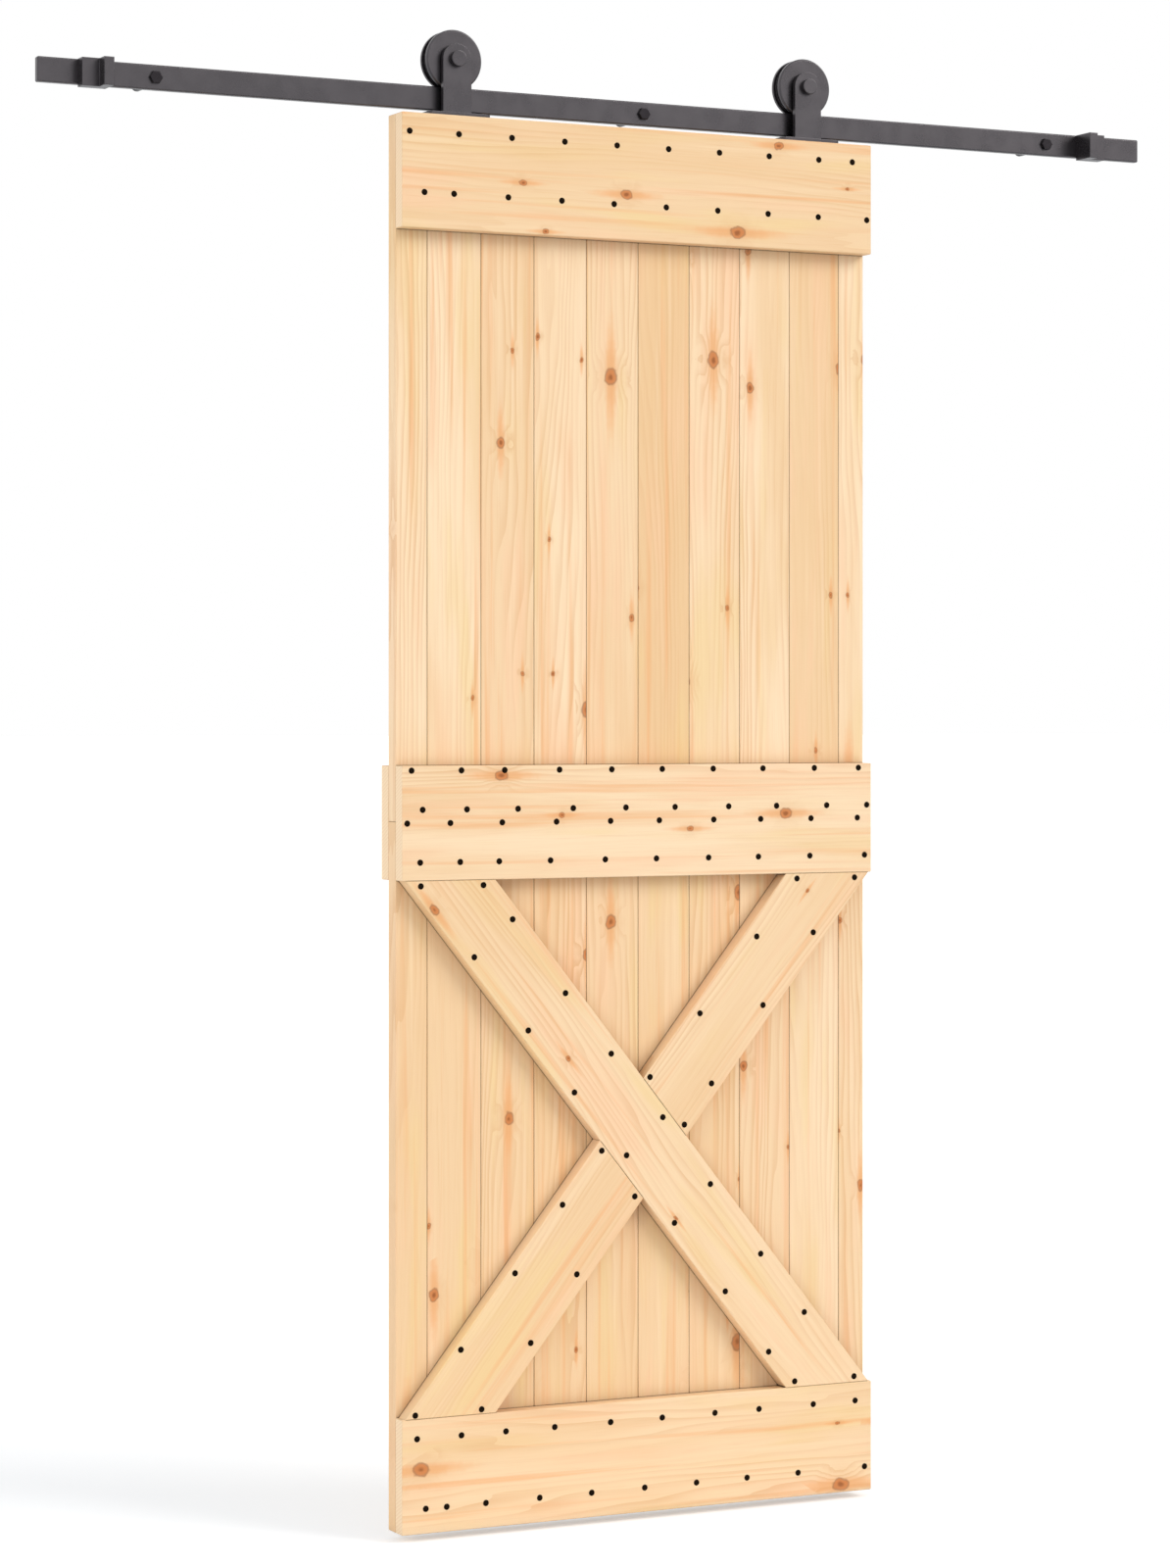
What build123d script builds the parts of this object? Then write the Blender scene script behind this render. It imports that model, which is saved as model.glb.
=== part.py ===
import os

from build123d import *

# Plank sliding door that hangs by two grooved wheels from a steel track on a wall.
# Millimetres. X runs along the track, Y from the room to the wall, Z up.
# The origin is on the wall face of the middle spacer, on the spacer's axis.

# Door leaf
door_w = 800.0
door_h = 2100.0
door_mid_x = -21.0
cross_h = 170.0
cross_t = 25.0
panel_t = 26.0
back_rail_t = 26.0
wood_edge = 1.0

# Boards of the panel, as parts of the door's width
board_count = 10
board_share = 0.11
first_board_share = 0.0644
split_rise = 2.0

# Diagonal braces
brace_cut = 147.0
brace_inset = 5.0

# Track and its wall fixings
track_len = 1876.0
track_mid_x = -31.0
track_h = 36.0
track_t = 12.0
track_edge = 1.5
door_gap = 11.5
spacer_len = 68.0
spacer_r = 9.5
bolt_r = 4.0
bolt_play = 0.3
bolt_head_af = 17.0
bolt_head_t = 5.0
bolt_inset = 178.0

# Wheels and hangers
wheel_inset = 100.0
wheel_r = 45.0
groove_depth = 5.0
flange_t = 6.5
groove_play = 0.75
tread_play = 0.3
wheel_edge = 2.0
axle_r = 5.0
axle_play = 0.3
axle_head_r = 12.0
axle_head_t = 8.0
axle_nut_af = 17.0
axle_nut_t = 8.0
pass_gap = 5.0
wheel_side_play = 1.0
strap_w = 46.0
strap_t = 8.0
strap_lead = 2.0
plate_len = 100.0
plate_t = 6.5
plate_lead = 11.0
plate_corner = 4.0
metal_edge = 0.8

# End stops
left_stop_inset = 101.0
right_stop_inset = 120.0
stop_flange_w = 15.0
stop_saddle_w = 26.0
stop_saddle_t = 20.0
stop_reach = 41.0
stop_drop = 4.5

# Depths, from the wall outwards
track_back_y = -spacer_len
track_front_y = track_back_y - track_t
track_mid_y = track_back_y - track_t / 2
wheel_w = track_t + 2 * (groove_play + flange_t)
wheel_front_y = track_mid_y - wheel_w / 2
wheel_back_y = track_mid_y + wheel_w / 2
strap_back_y = min(track_front_y - bolt_head_t - pass_gap, wheel_front_y - wheel_side_play)
strap_front_y = strap_back_y - strap_t
panel_front_y = strap_front_y + strap_lead
panel_back_y = panel_front_y + panel_t

# Heights
track_top_z = track_h / 2
track_bottom_z = -track_h / 2
door_top_z = track_bottom_z - door_gap
door_bottom_z = door_top_z - door_h
tread_r = wheel_r - groove_depth
axle_z = track_top_z + tread_play + tread_r
mid_rail_z = door_bottom_z + (door_h - cross_h) / 2
split_z = mid_rail_z + cross_h / 2 + split_rise

door_left_x = door_mid_x - door_w / 2
door_right_x = door_mid_x + door_w / 2

os.makedirs("parts", exist_ok=True)

LOW = (Align.MIN, Align.MIN, Align.MIN)


def front(y):
    """Plane seen from the room: its x is X, its y is Z, its normal points to the room."""
    return Plane(origin=(0, y, 0), x_dir=(1, 0, 0), z_dir=(0, -1, 0))


# Panel: ten boards across, in an upper and a lower length that meet behind the mid rail
board_cover = board_share * door_w
first_board_w = first_board_share * door_w
seams = [0.0, first_board_w]
for i in range(1, board_count - 1):
    seams.append(first_board_w + i * board_cover)
seams.append(door_w)

for tier, base_z, top_z in (("upper", split_z, door_top_z), ("lower", door_bottom_z, split_z)):
    for i in range(board_count):
        name = f"{tier}_board_{i + 1:02d}"
        corner = Plane(origin=(door_left_x + seams[i], panel_front_y, base_z))
        with BuildPart(corner) as board:
            Box(seams[i + 1] - seams[i], panel_t, top_z - base_z, align=LOW)
            chamfer(board.edges(), wood_edge)
        board.part.label = name
        export_step(board.part, f"parts/{name}.step")

# Level rails: three on the front of the panel and one on its back
rails = (
    ("header", door_top_z - cross_h, panel_front_y - cross_t, cross_t),
    ("mid_rail", mid_rail_z, panel_front_y - cross_t, cross_t),
    ("bottom_rail", door_bottom_z, panel_front_y - cross_t, cross_t),
    ("back_mid_rail", mid_rail_z, panel_back_y, back_rail_t),
)
for name, base_z, front_y, depth in rails:
    with BuildPart(Plane(origin=(door_left_x, front_y, base_z))) as rail:
        Box(door_w, depth, cross_h, align=LOW)
        chamfer(rail.edges(), wood_edge)
    rail.part.label = name
    export_step(rail.part, f"parts/{name}.step")

# Braces in the lower field: one whole, and its mirror image in two halves butted against it
field_low = door_bottom_z + cross_h
field_high = mid_rail_z
tip_left = door_left_x + brace_inset
tip_right = door_right_x - brace_inset
whole_pts = (
    (tip_left, field_high),
    (tip_left + brace_cut, field_high),
    (tip_right, field_low),
    (tip_right - brace_cut, field_low),
)
mirror_pts = (
    (tip_right, field_high),
    (tip_right - brace_cut, field_high),
    (tip_left, field_low),
    (tip_left + brace_cut, field_low),
)

with BuildSketch(front(panel_front_y)) as whole_outline:
    with BuildLine():
        Polyline(*whole_pts, close=True)
    make_face()
with BuildPart() as brace_whole:
    extrude(whole_outline.sketch, amount=cross_t)
    chamfer(brace_whole.faces().sort_by(Axis.Y)[0].edges(), wood_edge)
brace_whole.part.label = "brace_whole"
export_step(brace_whole.part, "parts/brace_whole.step")

with BuildSketch(front(panel_front_y)) as half_outlines:
    with BuildLine():
        Polyline(*mirror_pts, close=True)
    make_face()
    with BuildLine():
        Polyline(*whole_pts, close=True)
    make_face(mode=Mode.SUBTRACT)
half_faces = half_outlines.sketch.faces().sort_by(Axis.Z)
for name, face in (("brace_lower", half_faces[0]), ("brace_upper", half_faces[-1])):
    with BuildPart() as half_brace:
        extrude(face, amount=cross_t)
        chamfer(half_brace.faces().sort_by(Axis.Y)[0].edges(), wood_edge)
    half_brace.part.label = name
    export_step(half_brace.part, f"parts/{name}.step")

# Track: a flat bar with eased long edges and three fixing holes
track_left_x = track_mid_x - track_len / 2
track_right_x = track_mid_x + track_len / 2
fixings = (
    ("left", track_left_x + bolt_inset),
    ("middle", 0.0),
    ("right", track_right_x - bolt_inset),
)
with BuildPart(front(track_back_y)) as track:
    with Locations((track_mid_x, 0)):
        Box(track_len, track_h, track_t, align=(Align.CENTER, Align.CENTER, Align.MIN))
    chamfer(track.edges(), track_edge)
    with BuildSketch(front(track_back_y)):
        with Locations(*[(x, 0) for _, x in fixings]):
            Circle(bolt_r + bolt_play)
    extrude(amount=track_t, mode=Mode.SUBTRACT)
track.part.label = "track"
export_step(track.part, "parts/track.step")

# Wall fixings: a tube spacer behind the track and a hex bolt through both
for side, x in fixings:
    wall_point = Plane(origin=(x, 0, 0), x_dir=(1, 0, 0), z_dir=(0, -1, 0))
    track_point = Plane(origin=(x, track_front_y, 0), x_dir=(1, 0, 0), z_dir=(0, -1, 0))
    with BuildPart(wall_point) as spacer:
        Cylinder(spacer_r, spacer_len, align=(Align.CENTER, Align.CENTER, Align.MIN))
        Hole(bolt_r + bolt_play)
    spacer.part.label = f"{side}_spacer"
    export_step(spacer.part, f"parts/{side}_spacer.step")

    with BuildPart(wall_point) as wall_bolt:
        Cylinder(bolt_r, spacer_len + track_t, align=(Align.CENTER, Align.CENTER, Align.MIN))
        with BuildSketch(track_point):
            RegularPolygon(bolt_head_af / 2, 6, major_radius=False)
        extrude(amount=bolt_head_t)
        chamfer(wall_bolt.faces().sort_by(Axis.Y)[0].edges(), metal_edge)
    wall_bolt.part.label = f"{side}_wall_bolt"
    export_step(wall_bolt.part, f"parts/{side}_wall_bolt.step")

# Hangers: a base plate on the door's top with an upright strap in front of the wheel
wheels = (
    ("left", door_left_x + wheel_inset),
    ("right", door_right_x - wheel_inset),
)
for side, x in wheels:
    foot = Plane(origin=(x, strap_back_y, 0), x_dir=(1, 0, 0), z_dir=(0, -1, 0))
    plate_corner_point = Plane(origin=(x - plate_len / 2, strap_front_y - plate_lead, door_top_z))
    with BuildPart(plate_corner_point) as hanger:
        Box(plate_len, panel_back_y - strap_front_y + plate_lead, plate_t, align=LOW)
        chamfer(hanger.edges().filter_by(Axis.Z), plate_corner)
        with BuildSketch(foot):
            with BuildLine():
                Polyline(
                    (-strap_w / 2, axle_z),
                    (-strap_w / 2, door_top_z + plate_t),
                    (strap_w / 2, door_top_z + plate_t),
                    (strap_w / 2, axle_z),
                )
                ThreePointArc((strap_w / 2, axle_z), (0, axle_z + strap_w / 2), (-strap_w / 2, axle_z))
            make_face()
            with Locations((0, axle_z)):
                Circle(axle_r + axle_play, mode=Mode.SUBTRACT)
        extrude(amount=strap_t)
    hanger.part.label = f"{side}_hanger"
    export_step(hanger.part, f"parts/{side}_hanger.step")

    # Axle bolt: round head on the strap, collar up to the wheel, shank and a nut behind the wheel
    axle_start = Plane(origin=(x, strap_front_y, axle_z), x_dir=(1, 0, 0), z_dir=(0, 1, 0))
    collar_plane = Plane(origin=(x, strap_back_y, axle_z), x_dir=(1, 0, 0), z_dir=(0, 1, 0))
    nut_y = wheel_back_y + axle_play
    nut_plane = Plane(origin=(x, nut_y, axle_z), x_dir=(1, 0, 0), z_dir=(0, 1, 0))
    collar_len = wheel_front_y - strap_back_y - axle_play
    with BuildPart(axle_start) as axle:
        Cylinder(axle_r, nut_y - strap_front_y, align=(Align.CENTER, Align.CENTER, Align.MIN))
        Cylinder(axle_head_r, axle_head_t, align=(Align.CENTER, Align.CENTER, Align.MAX))
        chamfer(axle.faces().sort_by(Axis.Y)[0].edges(), metal_edge)
        with BuildSketch(collar_plane):
            Circle(axle_head_r)
        extrude(amount=collar_len)
        with BuildSketch(nut_plane):
            RegularPolygon(axle_nut_af / 2, 6, major_radius=False)
        extrude(amount=axle_nut_t)
    axle.part.label = f"{side}_axle_bolt"
    export_step(axle.part, f"parts/{side}_axle_bolt.step")

    # Wheel: two flanges and a groove that rides on the track's upper edge
    hub = Plane(origin=(x, track_mid_y, axle_z), x_dir=(0, 1, 0), z_dir=(1, 0, 0))
    wheel_half = wheel_w / 2
    groove_half = wheel_half - flange_t
    with BuildPart() as wheel:
        with BuildSketch(hub):
            with BuildLine():
                Polyline(
                    (-wheel_half, axle_r + axle_play),
                    (-wheel_half, wheel_r - wheel_edge),
                    (-wheel_half + wheel_edge, wheel_r),
                    (-groove_half, wheel_r),
                    (-groove_half, tread_r),
                    (groove_half, tread_r),
                    (groove_half, wheel_r),
                    (wheel_half - wheel_edge, wheel_r),
                    (wheel_half, wheel_r - wheel_edge),
                    (wheel_half, axle_r + axle_play),
                    close=True,
                )
            make_face()
        revolve(axis=Axis((x, track_mid_y, axle_z), (0, 1, 0)))
    wheel.part.label = f"{side}_wheel"
    export_step(wheel.part, f"parts/{side}_wheel.step")

# End stops: a block on the track's face with a flange on its inner side that stands out
stops = (
    ("left", track_left_x + left_stop_inset, 1),
    ("right", track_right_x - right_stop_inset, -1),
)
for side, x, inward in stops:
    with BuildSketch(Plane(origin=(x, track_front_y, track_bottom_z - stop_drop))) as stop_outline:
        with BuildLine():
            Polyline(
                (0, 0),
                (0, -stop_reach),
                (-inward * stop_flange_w, -stop_reach),
                (-inward * stop_flange_w, -stop_saddle_t),
                (-inward * (stop_flange_w + stop_saddle_w), -stop_saddle_t),
                (-inward * (stop_flange_w + stop_saddle_w), 0),
                close=True,
            )
        make_face()
    with BuildPart() as stop:
        extrude(stop_outline.sketch, amount=track_h + stop_drop, dir=(0, 0, 1))
        chamfer(stop.faces().sort_by(Axis.Y)[0].edges(), metal_edge)
    stop.part.label = f"{side}_stop"
    export_step(stop.part, f"parts/{side}_stop.step")
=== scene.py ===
import math

import bmesh
import bpy
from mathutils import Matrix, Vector


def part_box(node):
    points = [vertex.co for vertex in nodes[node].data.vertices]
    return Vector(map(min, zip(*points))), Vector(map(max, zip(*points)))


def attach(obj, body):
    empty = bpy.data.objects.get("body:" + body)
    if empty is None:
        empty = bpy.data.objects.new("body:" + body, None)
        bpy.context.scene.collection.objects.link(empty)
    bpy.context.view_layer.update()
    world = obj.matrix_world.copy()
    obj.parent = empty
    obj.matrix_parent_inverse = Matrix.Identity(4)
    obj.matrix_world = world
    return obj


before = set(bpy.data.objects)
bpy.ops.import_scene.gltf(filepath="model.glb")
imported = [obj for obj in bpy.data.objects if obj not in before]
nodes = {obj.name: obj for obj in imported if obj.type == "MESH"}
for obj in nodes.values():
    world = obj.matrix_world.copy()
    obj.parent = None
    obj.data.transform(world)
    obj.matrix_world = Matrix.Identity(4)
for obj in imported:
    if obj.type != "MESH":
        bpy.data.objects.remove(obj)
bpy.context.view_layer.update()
scene = bpy.context.scene

MM = 0.001
WHITE = (1.0, 1.0, 1.0, 1.0)


def srgb(r, g, b):
    """A colour written as 0 to 255 per channel, in the linear values that shaders take."""
    def linear(v):
        v = v / 255
        return v / 12.92 if v <= 0.04045 else ((v + 0.055) / 1.055) ** 2.4
    return (linear(r), linear(g), linear(b), 1.0)


def wave_scale(pitch):
    """The scale at which a wave texture repeats once in each pitch."""
    return 2 * math.pi / 20 / pitch


class Graph:
    """A material and short ways of adding nodes to it."""

    def __init__(self, name):
        self.material = bpy.data.materials.new(name)
        self.material.use_nodes = True
        self.tree = self.material.node_tree
        self.shader = self.tree.nodes["Principled BSDF"]

    def plug(self, socket, value):
        if isinstance(value, bpy.types.NodeSocket):
            self.tree.links.new(value, socket)
        else:
            socket.default_value = value

    def node(self, kind, settings=None, **inputs):
        made = self.tree.nodes.new("ShaderNode" + kind)
        for key, value in (settings or {}).items():
            setattr(made, key, value)
        for key, value in inputs.items():
            self.plug(made.inputs[key.replace("_", " ")], value)
        return made

    def math(self, operation, *values):
        made = self.node("Math", {"operation": operation})
        for socket, value in zip(made.inputs, values):
            self.plug(socket, value)
        return made.outputs[0]

    def ramp(self, value, low, high, start=0.0, end=1.0):
        made = self.node("MapRange", {"interpolation_type": "SMOOTHSTEP"})
        for socket, given in zip(made.inputs, (value, low, high, start, end)):
            self.plug(socket, given)
        return made.outputs[0]

    def mix(self, factor, first, second):
        made = self.node("Mix", {"data_type": "RGBA"})
        self.plug(made.inputs[0], factor)
        self.plug(made.inputs[6], first)
        self.plug(made.inputs[7], second)
        return made.outputs[2]

    def vector(self, x, y, z):
        return self.node("CombineXYZ", X=x, Y=y, Z=z).outputs[0]

    def split(self, vector):
        return self.node("SeparateXYZ", Vector=vector).outputs

    def noise(self, vector, scale, detail=2.0):
        return self.node("TexNoise", Vector=vector, Scale=scale, Detail=detail).outputs[0]

    def centred(self, noise, size):
        """Noise about zero, at the size given."""
        return self.math("MULTIPLY", self.math("SUBTRACT", noise, 0.5), size)

    def distance(self, a, b):
        """How far a point lies from the one that it is offset from."""
        squares = self.math("ADD", self.math("MULTIPLY", a, a), self.math("MULTIPLY", b, b))
        return self.math("SQRT", squares)

    def openness(self, reach):
        """1 on an open face, and less where other surfaces stand within reach."""
        return self.node("AmbientOcclusion", {"samples": 8}, Distance=reach).outputs["AO"]

    def own(self, name):
        """A number kept on each object that wears the material."""
        return self.node("Attribute", {"attribute_type": "OBJECT", "attribute_name": name}).outputs["Fac"]


# Pine

PINE_LIGHT = srgb(253, 226, 190)
PINE_DEEP = srgb(238, 199, 151)
GRAIN = srgb(217, 158, 98)
RESIN = srgb(240, 172, 112)
PINK = srgb(250, 205, 166)
STRAW = srgb(242, 212, 150)
KNOT = srgb(200, 116, 56)
KNOT_CORE = srgb(138, 74, 34)
# Dark brown for seams and corners, partly dirt and partly painted shade
CREVICE_DIRT_AND_SHADE = srgb(78, 50, 24)
# Painted shade: the grey brown that wood goes towards beside raised pieces
PAINTED_SHADE = srgb(176, 148, 116)

RING_PITCH = 11 * MM
END_RING_PITCH = 5 * MM
PITH_ACROSS = 20 * MM
PITH_DEPTH = 150 * MM
KNOT_CELL_ACROSS = 95 * MM
KNOT_CELL_ALONG = 240 * MM
KNOT_SQUASH = 0.72
KNOT_LEAST_R = 2.5 * MM
KNOT_SPREAD_R = 7 * MM
KNOT_RAGGED = 7 * MM
RESIN_STRETCH = 0.16
PAINTED_SHADE_REACH = 45 * MM
CREVICE_DIRT_AND_SHADE_REACH = 3 * MM
GRAIN_RELIEF = 0.25 * MM

# How far the pattern moves in each direction for each unit of a piece's seed
SEED_SHIFT = (0.731, 0.377, 1.913)


class Pine(Graph):
    """A material with places in the wood: across the grain, into the board and along the grain."""

    def __init__(self, name, lean):
        super().__init__(name)
        self.lean = lean
        seed = self.own("grain_seed")
        shift = [self.math("MULTIPLY", seed, share) for share in SEED_SHIFT]
        moved = self.node("VectorMath", {"operation": "ADD"})
        self.plug(moved.inputs[0], self.leaned(self.node("TexCoord").outputs["Object"]))
        self.plug(moved.inputs[1], self.vector(*shift))
        self.place = moved.outputs[0]
        self.across, self.depth, self.along = self.split(self.place)

    def leaned(self, vector):
        turn = self.node("VectorRotate", {"rotation_type": "Y_AXIS"}, Vector=vector, Angle=self.lean)
        return turn.outputs[0]

    def streaks(self, across, depth, along, detail=2.0):
        """Noise with a scale of its own in each direction of the wood."""
        scaled = self.vector(
            self.math("MULTIPLY", self.across, across),
            self.math("MULTIPLY", self.depth, depth),
            self.math("MULTIPLY", self.along, along),
        )
        return self.noise(scaled, 1.0, detail)

    def knots(self):
        """Knots: one cell of a stretched pattern may hold one, with a size of its own.

        Gives the offset across the grain from the nearest knot, and the marks that knots leave.
        """
        cell_a = self.math("DIVIDE", self.across, KNOT_CELL_ACROSS)
        cell_b = self.math("DIVIDE", self.along, KNOT_CELL_ALONG)
        cell_place = self.vector(cell_a, cell_b, 0.0)
        cells = self.node("TexVoronoi", {"voronoi_dimensions": "2D"}, Vector=cell_place, Scale=1.0)
        middle = self.split(cells.outputs["Position"])
        chance = self.node("SeparateColor", Color=cells.outputs["Color"]).outputs
        held = self.math("LESS_THAN", chance[0], self.own("knots"))
        radius = self.math("MULTIPLY_ADD", self.math("POWER", chance[1], 2.0), KNOT_SPREAD_R, KNOT_LEAST_R)

        off_a = self.math("MULTIPLY", self.math("SUBTRACT", cell_a, middle[0]), KNOT_CELL_ACROSS)
        squashed = KNOT_SQUASH * KNOT_CELL_ALONG
        off_b = self.math("MULTIPLY", self.math("SUBTRACT", cell_b, middle[1]), squashed)
        ragged = self.centred(self.noise(self.place, 90.0), KNOT_RAGGED)
        ratio = self.math("DIVIDE", self.math("ADD", self.distance(off_a, off_b), ragged), radius)
        tail = self.math("DIVIDE", self.distance(off_a, self.math("MULTIPLY", off_b, RESIN_STRETCH)), radius)
        ragged_tail = self.math("ADD", tail, self.math("MULTIPLY", ragged, 60.0))

        marks = {
            "knot": self.ramp(ratio, 1.1, 0.75),
            "core": self.ramp(ratio, 0.6, 0.1),
            "rim": self.math("SUBTRACT", self.ramp(ratio, 1.3, 1.0), self.ramp(ratio, 1.0, 0.75)),
            "halo": self.ramp(ratio, 4.5, 0.6),
            "resin": self.ramp(ragged_tail, 1.5, 0.3),
        }
        return off_a, {name: self.math("MULTIPLY", held, mark) for name, mark in marks.items()}

    def rings(self, off_knot, halo):
        """Growth rings: bands across the board, bowed slowly along it and pushed aside by knots."""
        bow = self.centred(self.streaks(5.0, 5.0, 0.55), 0.2)
        sway = self.centred(self.streaks(26.0, 26.0, 2.6), 0.035)
        pushed = self.math("MULTIPLY", self.math("MULTIPLY", off_knot, 1.5), halo)
        bent = self.math("ADD", self.math("ADD", self.across, bow), self.math("ADD", pushed, sway))
        inwards = self.math("MULTIPLY", self.depth, 0.3)
        lengthways = self.math("MULTIPLY", self.along, 0.05)
        bands = self.node(
            "TexWave",
            {"wave_type": "BANDS", "bands_direction": "X", "wave_profile": "SAW"},
            Vector=self.vector(bent, inwards, lengthways),
            Scale=wave_scale(RING_PITCH),
            Distortion=4.0,
            Detail=3.0,
            Detail_Scale=1.0,
        )
        return self.ramp(bands.outputs["Fac"], 0.3, 1.0)

    def end_grain(self, colour):
        """Arcs round a pith beside the board, on faces that the grain runs into."""
        facing = self.split(self.leaned(self.node("NewGeometry").outputs["Normal"]))
        end = self.ramp(self.math("ABSOLUTE", facing[2]), 0.7, 0.9)
        from_pith = self.vector(
            self.math("ADD", self.across, PITH_ACROSS), self.math("ADD", self.depth, PITH_DEPTH), 0.0
        )
        arcs = self.node(
            "TexWave",
            {"wave_type": "RINGS", "rings_direction": "Z", "wave_profile": "SAW"},
            Vector=from_pith,
            Scale=wave_scale(END_RING_PITCH),
            Distortion=1.0,
            Detail=2.0,
        )
        end_colour = self.mix(self.math("MULTIPLY", arcs.outputs["Fac"], 0.3), PINE_LIGHT, GRAIN)
        return self.mix(end, colour, end_colour)

    def joints(self, colour):
        """Painted shade beside raised pieces, and darkening in seams and corners that is partly dirt and
        partly painted shade.
        """
        # Painted shade where other surfaces stand within reach
        colour = self.mix(self.ramp(self.openness(PAINTED_SHADE_REACH), 0.88, 0.45, 0.0, 0.4), colour, PAINTED_SHADE)
        # Darkening in seams and corners, partly dirt and partly painted shade
        return self.mix(self.ramp(self.openness(CREVICE_DIRT_AND_SHADE_REACH), 0.88, 0.4, 0.0, 0.9), colour, CREVICE_DIRT_AND_SHADE)


def pine(name, lean):
    """Planed pine whose grain leans from upright by an angle about Y."""
    g = Pine(name, lean)
    off_knot, marks = g.knots()
    late = g.rings(off_knot, marks["halo"])
    strength = g.ramp(g.streaks(14.0, 1.0, 1.1), 0.38, 0.7, 0.04, 0.4)
    fibre = g.streaks(620.0, 620.0, 14.0, 3.0)
    stain = g.streaks(12.0, 1.0, 1.7, 3.0)
    streak = g.streaks(70.0, 1.0, 1.3, 3.0)
    warmth = g.streaks(22.0, 1.0, 2.8)

    # The number read here is each piece's own depth of colour, and on the lower boards it also holds painted
    # shade.
    colour = g.mix(g.own("tone"), PINE_LIGHT, PINE_DEEP)
    colour = g.mix(g.ramp(warmth, 0.52, 0.72, 0.0, 0.6), colour, PINK)
    colour = g.mix(g.ramp(warmth, 0.48, 0.3, 0.0, 0.5), colour, STRAW)
    colour = g.mix(g.ramp(stain, 0.42, 0.75, 0.0, 0.7), colour, PINE_DEEP)
    colour = g.mix(g.ramp(streak, 0.54, 0.76, 0.0, 0.55), colour, RESIN)
    colour = g.mix(g.ramp(streak, 0.45, 0.25, 0.0, 0.45), colour, PINE_LIGHT)
    colour = g.mix(g.math("MULTIPLY", late, strength), colour, GRAIN)
    colour = g.mix(g.ramp(fibre, 0.5, 0.8, 0.0, 0.16), colour, GRAIN)
    colour = g.mix(g.math("MULTIPLY", marks["resin"], 0.7), colour, RESIN)
    colour = g.mix(g.math("MULTIPLY", marks["halo"], 0.2), colour, GRAIN)
    colour = g.mix(g.math("MULTIPLY", marks["knot"], 0.8), colour, KNOT)
    colour = g.mix(g.math("MULTIPLY", marks["rim"], 0.55), colour, KNOT_CORE)
    colour = g.mix(g.math("MULTIPLY", marks["core"], 0.7), colour, KNOT_CORE)
    colour = g.joints(g.end_grain(colour))

    g.plug(g.shader.inputs["Base Color"], colour)
    g.plug(g.shader.inputs["Roughness"], g.ramp(fibre, 0.2, 0.8, 0.5, 0.66))
    g.shader.inputs["Specular IOR Level"].default_value = 0.25
    height = g.math("ADD", g.math("MULTIPLY", late, 0.5), fibre)
    bump = g.node("Bump", Strength=0.25, Distance=GRAIN_RELIEF, Height=height)
    g.plug(g.shader.inputs["Normal"], bump.outputs[0])
    return g.material


# Dark metallic coat

COAT = srgb(84, 81, 84)
COAT_WORN = srgb(102, 99, 102)
BOLT = srgb(48, 45, 48)
RUBBED_R = 1.0 * MM
COAT_RELIEF = 0.05 * MM


def coat(name, body, worn):
    """Dark metallic coat with a fine grain, a little lighter where edges rub."""
    g = Graph(name)
    place = g.node("TexCoord").outputs["Object"]
    cloud = g.noise(place, 34.0, 4.0)
    grain = g.noise(place, 1900.0, 2.0)
    rounded = g.node("Bevel", {"samples": 6}, Radius=RUBBED_R).outputs[0]
    flat = g.node("NewGeometry").outputs["Normal"]
    dot = g.node("VectorMath", {"operation": "DOT_PRODUCT"})
    g.plug(dot.inputs[0], rounded)
    g.plug(dot.inputs[1], flat)
    edge = g.ramp(dot.outputs["Value"], 0.995, 0.9)
    rubbed = g.math("MULTIPLY", edge, g.ramp(cloud, 0.4, 0.65, 0.1, 0.7))
    colour = g.mix(g.ramp(cloud, 0.35, 0.7, 0.0, 0.06), body, worn)
    colour = g.mix(rubbed, colour, worn)
    g.plug(g.shader.inputs["Base Color"], colour)
    g.plug(g.shader.inputs["Roughness"], g.ramp(cloud, 0.3, 0.7, 0.26, 0.33))
    g.shader.inputs["Metallic"].default_value = 0.95
    bump = g.node("Bump", Strength=0.05, Distance=COAT_RELIEF, Height=grain, Normal=rounded)
    g.plug(g.shader.inputs["Normal"], bump.outputs[0])
    return g.material


# Nail heads

NAIL_DARK = srgb(16, 10, 5)
NAIL_PALE = srgb(30, 19, 8)


def nail_coat():
    """Nearly black and dull, with a cloudy brown."""
    g = Graph("nail")
    cloud = g.noise(g.node("TexCoord").outputs["Object"], 260.0, 3.0)
    g.plug(g.shader.inputs["Base Color"], g.mix(g.ramp(cloud, 0.35, 0.7), NAIL_DARK, NAIL_PALE))
    g.plug(g.shader.inputs["Roughness"], g.ramp(cloud, 0.3, 0.7, 0.7, 0.9))
    g.shader.inputs["Specular IOR Level"].default_value = 0.05
    return g.material


# Dress the CAD nodes

# How deep each board's colour is, from left to right: 0 is the palest pine and 1 the deepest. The lower
# boards are also set deeper as painted shade from the braces.
UPPER_TONES = (0.1, 0.1, 0.5, 0.15, 0.45, 0.95, 0.3, 0.1, 0.75, 0.05)
LOWER_TONES_AND_SHADE = (0.75, 0.7, 0.7, 0.6, 0.6, 0.65, 0.65, 0.5, 0.15, 0.5)
SEED_STEP = 1.37
BOARD_KNOTS = 0.62

# The length of a brace's slanted end, along the rail that it meets
BRACE_CUT = 147 * MM

door_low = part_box("header")[0]
brace_low, brace_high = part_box("brace_whole")
brace_lean = math.atan2(brace_high.x - brace_low.x - BRACE_CUT, brace_high.z - brace_low.z)

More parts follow.
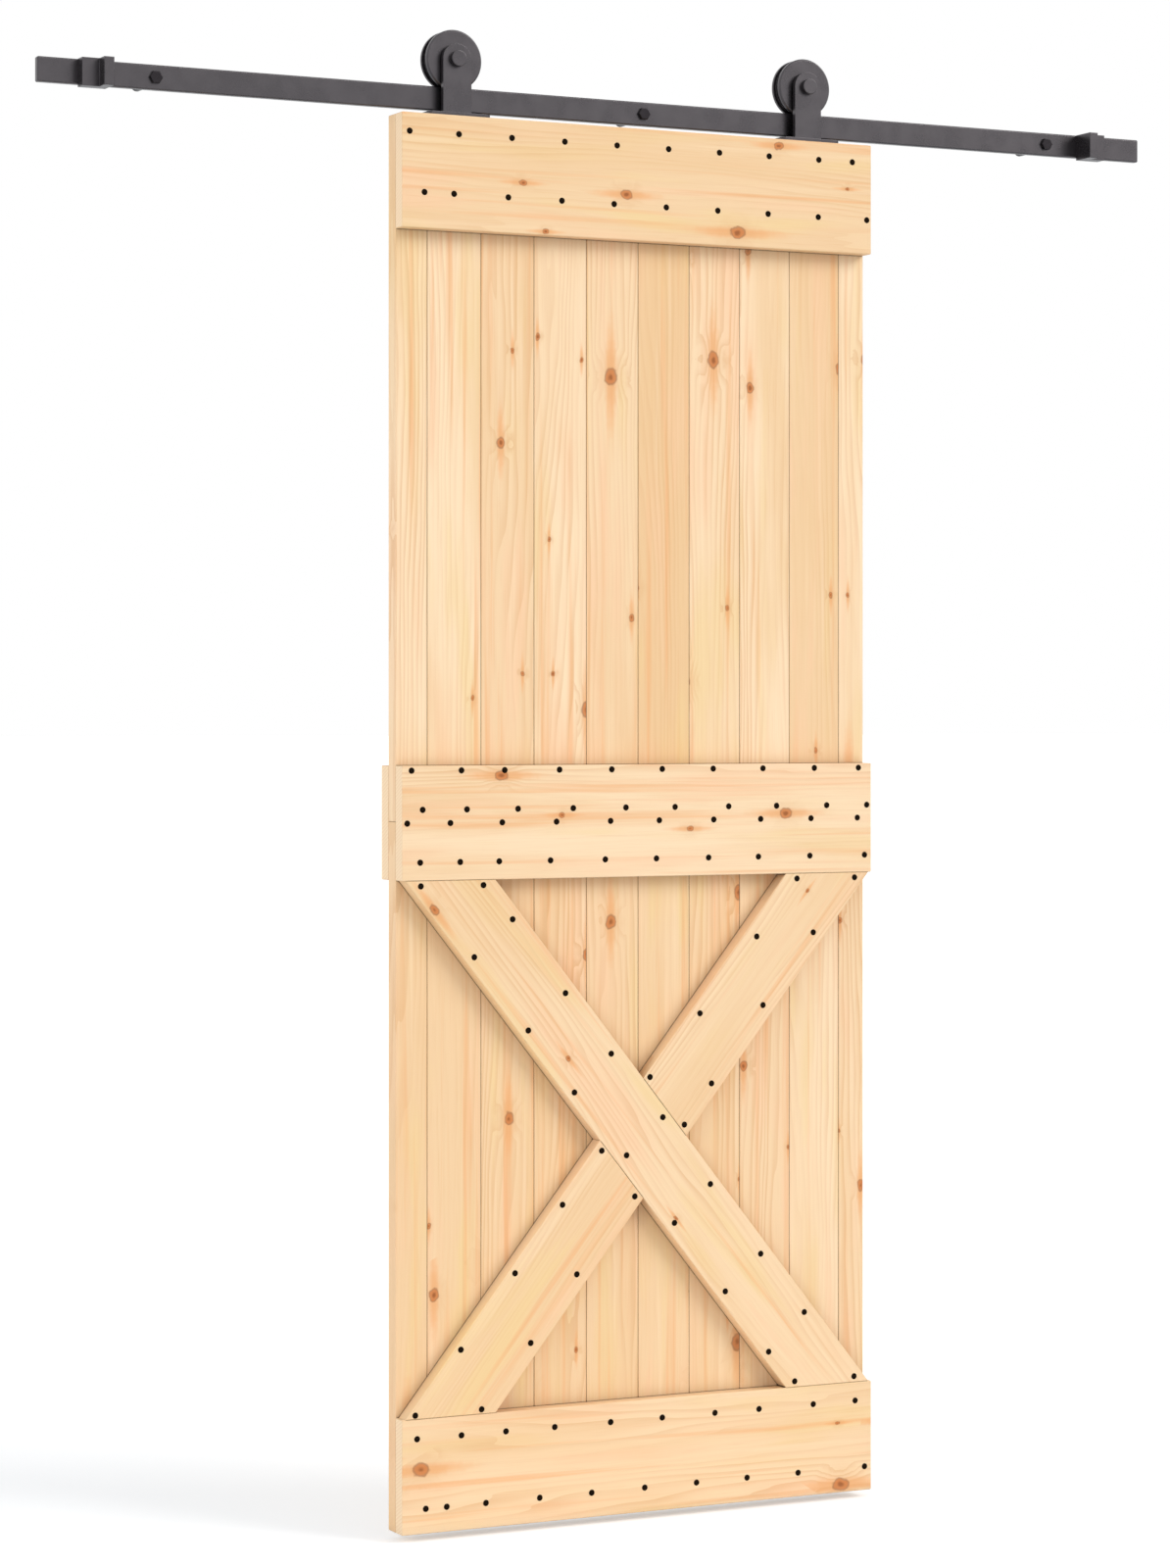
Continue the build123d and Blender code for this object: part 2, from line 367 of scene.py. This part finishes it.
upright = pine("pine_upright", 0.0)
level = pine("pine_level", math.pi / 2)
falling = pine("pine_falling", brace_lean)
rising = pine("pine_rising", -brace_lean)
steel = coat("dark_coat", COAT, COAT_WORN)
bolt_steel = coat("bolt_coat", BOLT, COAT)


def dress(node, material, **numbers):
    """Give a node its material and the numbers that the material reads from it."""
    piece = nodes[node]
    piece.material_slots[0].material = material
    for key, value in numbers.items():
        piece[key] = float(value)


for tier, tones, first_seed in (("upper", UPPER_TONES, 1.0), ("lower", LOWER_TONES_AND_SHADE, 24.0)):
    for i, tone in enumerate(tones):
        seed = first_seed + SEED_STEP * i
        dress(f"{tier}_board_{i + 1:02d}", upright, grain_seed=seed, tone=tone, knots=BOARD_KNOTS)

dress("header", level, grain_seed=51.0, tone=0.65, knots=0.6)
dress("mid_rail", level, grain_seed=57.3, tone=0.2, knots=0.65)
dress("bottom_rail", level, grain_seed=63.9, tone=0.45, knots=0.5)
dress("back_mid_rail", level, grain_seed=69.1, tone=0.35, knots=0.5)
dress("brace_whole", falling, grain_seed=74.6, tone=0.4, knots=0.4)
dress("brace_upper", rising, grain_seed=80.2, tone=0.5, knots=0.5)
dress("brace_lower", rising, grain_seed=86.5, tone=0.75, knots=0.5)

for name in nodes:
    if name.endswith(("wall_bolt", "spacer")):
        dress(name, bolt_steel)
    elif name.endswith(("hanger", "axle_bolt", "wheel", "stop")) or name == "track":
        dress(name, steel)


# Nail places, in millimetres from the door's lower left corner: height of a row, then places across

NAIL_R = 4.7 * MM
NAIL_RISE = 0.9 * MM
NAIL_SIDES = 16

# Rings of a head, from the wood outwards: share of the radius, share of the rise
NAIL_RINGS = ((1.0, 0.0), (0.96, 0.55), (0.62, 0.9))

HEADER_ROWS = {
    2072: (12, 92, 179, 267, 355, 443, 531, 618, 706, 766),
    1983: (36, 84, 173, 262, 350, 439, 528, 616, 705, 792),
}
MID_ROWS = {
    1128: (15, 96, 167, 258, 346, 432, 520, 607, 698, 777),
    1070: (33, 105, 189, 281, 370, 454, 547, 631, 720, 792),
    1050: (8, 78, 163, 253, 344, 427, 521, 603, 692, 775),
    992: (29, 94, 158, 243, 335, 422, 512, 599, 690, 788),
}
BOTTOM_ROWS = {
    141: (24, 96, 169, 250, 344, 432, 523, 600, 696, 771),
    37: (38, 72, 136, 225, 312, 402, 491, 579, 669, 788),
}

# On the braces: place across, then height, down the left edge and then down the right one
WHOLE_BRACE = (
    (30, 957), (117, 850), (206, 738), (283, 642), (371, 543),
    (453, 436), (541, 326), (617, 228), (663, 179),
    (132, 957), (180, 905), (268, 792), (345, 698), (433, 598),
    (515, 492), (603, 380), (680, 285), (769, 179),
)

# On the two halves: place across, then height, from the top down
UPPER_BRACE = (
    (667, 957), (770, 957), (596, 869), (696, 873), (497, 754),
    (607, 763), (411, 660), (517, 646), (470, 585),
)
LOWER_BRACE = (
    (329, 552), (385, 480), (263, 474), (287, 368), (184, 376),
    (210, 270), (95, 268), (129, 177), (21, 176),
)

corner = Vector((door_low.x, door_low.y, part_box("bottom_rail")[0].z))
nail = nail_coat()


def nail_ring(mesh, middle, radius, rise):
    """One round of points on a nail head."""
    angles = [2 * math.pi * k / NAIL_SIDES for k in range(NAIL_SIDES)]
    return [
        mesh.verts.new(middle + Vector((radius * math.cos(angle), -rise, radius * math.sin(angle))))
        for angle in angles
    ]


def nail_heads(name, places):
    """Low round heads on the front of the door, as one piece."""
    mesh = bmesh.new()
    for across, height in places:
        middle = corner + Vector((across * MM, 0, height * MM))
        loops = [nail_ring(mesh, middle, NAIL_R * part, NAIL_RISE * rise) for part, rise in NAIL_RINGS]
        for low, high in zip(loops, loops[1:]):
            for k in range(NAIL_SIDES):
                mesh.faces.new((low[k - 1], low[k], high[k], high[k - 1]))
        mesh.faces.new(loops[-1])
    data = bpy.data.meshes.new(name)
    mesh.to_mesh(data)
    mesh.free()
    data.materials.append(nail)
    for face in data.polygons:
        face.use_smooth = True
    piece = bpy.data.objects.new(name, data)
    scene.collection.objects.link(piece)
    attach(piece, "door")


def in_rows(rows):
    return [(across, height) for height, row in rows.items() for across in row]


nail_heads("header_nails", in_rows(HEADER_ROWS))
nail_heads("mid_rail_nails", in_rows(MID_ROWS))
nail_heads("bottom_rail_nails", in_rows(BOTTOM_ROWS))
nail_heads("whole_brace_nails", WHOLE_BRACE)
nail_heads("upper_brace_nails", UPPER_BRACE)
nail_heads("lower_brace_nails", LOWER_BRACE)


# Floor

FLOOR_GAP = 12 * MM
FLOOR_HALF = 200.0
FLOOR_GLOW = 0.36
FLOOR_SIGNS = ((-1, -1), (1, -1), (1, 1), (-1, 1))


def white_floor():
    """A pale floor that looks white to the camera and gives the door no light of its own."""
    g = Graph("floor")
    seen = g.node("LightPath").outputs["Is Camera Ray"]
    cloud = g.noise(g.node("TexCoord").outputs["Object"], 3.0)
    g.plug(g.shader.inputs["Base Color"], g.mix(cloud, srgb(244, 244, 244), srgb(247, 247, 247)))
    g.shader.inputs["Roughness"].default_value = 0.9
    g.shader.inputs["Emission Color"].default_value = WHITE
    g.plug(g.shader.inputs["Emission Strength"], g.math("MULTIPLY", seen, FLOOR_GLOW))
    return g.material


floor_z = corner.z - FLOOR_GAP
floor_corners = [(x * FLOOR_HALF, y * FLOOR_HALF, floor_z) for x, y in FLOOR_SIGNS]
floor_mesh = bpy.data.meshes.new("floor")
floor_mesh.from_pydata(floor_corners, [], [(0, 1, 2, 3)])
floor_mesh.materials.append(white_floor())
floor = bpy.data.objects.new("floor", floor_mesh)
scene.collection.objects.link(floor)


# Light

AMBIENT = 0.46
COOL = (0.93, 0.99, 1.05, 1.0)
WARM = (1.0, 0.97, 0.93)


def studio():
    """A white room to the camera and to mirrors, which lights the rest softly and a little cool."""
    world = bpy.data.worlds.new("studio")
    world.use_nodes = True
    tree = world.node_tree
    back = tree.nodes["Background"]
    path = tree.nodes.new("ShaderNodeLightPath")
    direct = tree.nodes.new("ShaderNodeMath")
    direct.operation = "MAXIMUM"
    tree.links.new(path.outputs["Is Camera Ray"], direct.inputs[0])
    tree.links.new(path.outputs["Is Glossy Ray"], direct.inputs[1])
    strength = tree.nodes.new("ShaderNodeMapRange")
    strength.inputs["To Min"].default_value = AMBIENT
    strength.inputs["To Max"].default_value = 1.0
    tree.links.new(direct.outputs[0], strength.inputs["Value"])
    tree.links.new(strength.outputs[0], back.inputs["Strength"])
    tint = tree.nodes.new("ShaderNodeMix")
    tint.data_type = "RGBA"
    tint.inputs[6].default_value = COOL
    tint.inputs[7].default_value = WHITE
    tree.links.new(direct.outputs[0], tint.inputs[0])
    tree.links.new(tint.outputs[2], back.inputs["Color"])
    return world


def lamp(name, towards_lamp, energy, softness, colour, mirrored=True):
    """A soft far lamp, in the direction given from the door.

    One that isn't mirrored shows in no reflection, so it leaves metal alone.
    """
    data = bpy.data.lights.new(name, "SUN")
    data.energy = energy
    data.color = colour
    data.angle = math.radians(softness)
    made = bpy.data.objects.new(name, data)
    made.rotation_euler = Vector(towards_lamp).to_track_quat("Z", "Y").to_euler()
    made.visible_glossy = mirrored
    scene.collection.objects.link(made)


scene.world = studio()
lamp("key", (1.0, -1.0, 0.9), 1.65, 34, WARM)
lamp("fill", (-1.0, -0.3, 0.2), 1.75, 60, WHITE[:3], mirrored=False)


# Camera: level, to the left of the door and a little above its middle

CAMERA_YAW = math.radians(26.4)
CAMERA_FROM_EDGE = Vector((-2367 * MM, -5374 * MM, 1211 * MM))
FOCAL_PX = 4062
HORIZON_PX = 729
IMAGE_H = 1600
SENSOR = 36.0

camera_data = bpy.data.cameras.new("camera")
camera_data.sensor_width = SENSOR
camera_data.lens = SENSOR * FOCAL_PX / IMAGE_H
camera_data.shift_y = (HORIZON_PX - IMAGE_H / 2) / IMAGE_H
camera = bpy.data.objects.new("camera", camera_data)
camera.location = corner + CAMERA_FROM_EDGE
camera.rotation_euler = (math.pi / 2, 0.0, -CAMERA_YAW)
scene.collection.objects.link(camera)
scene.camera = camera

scene.view_settings.view_transform = "Standard"
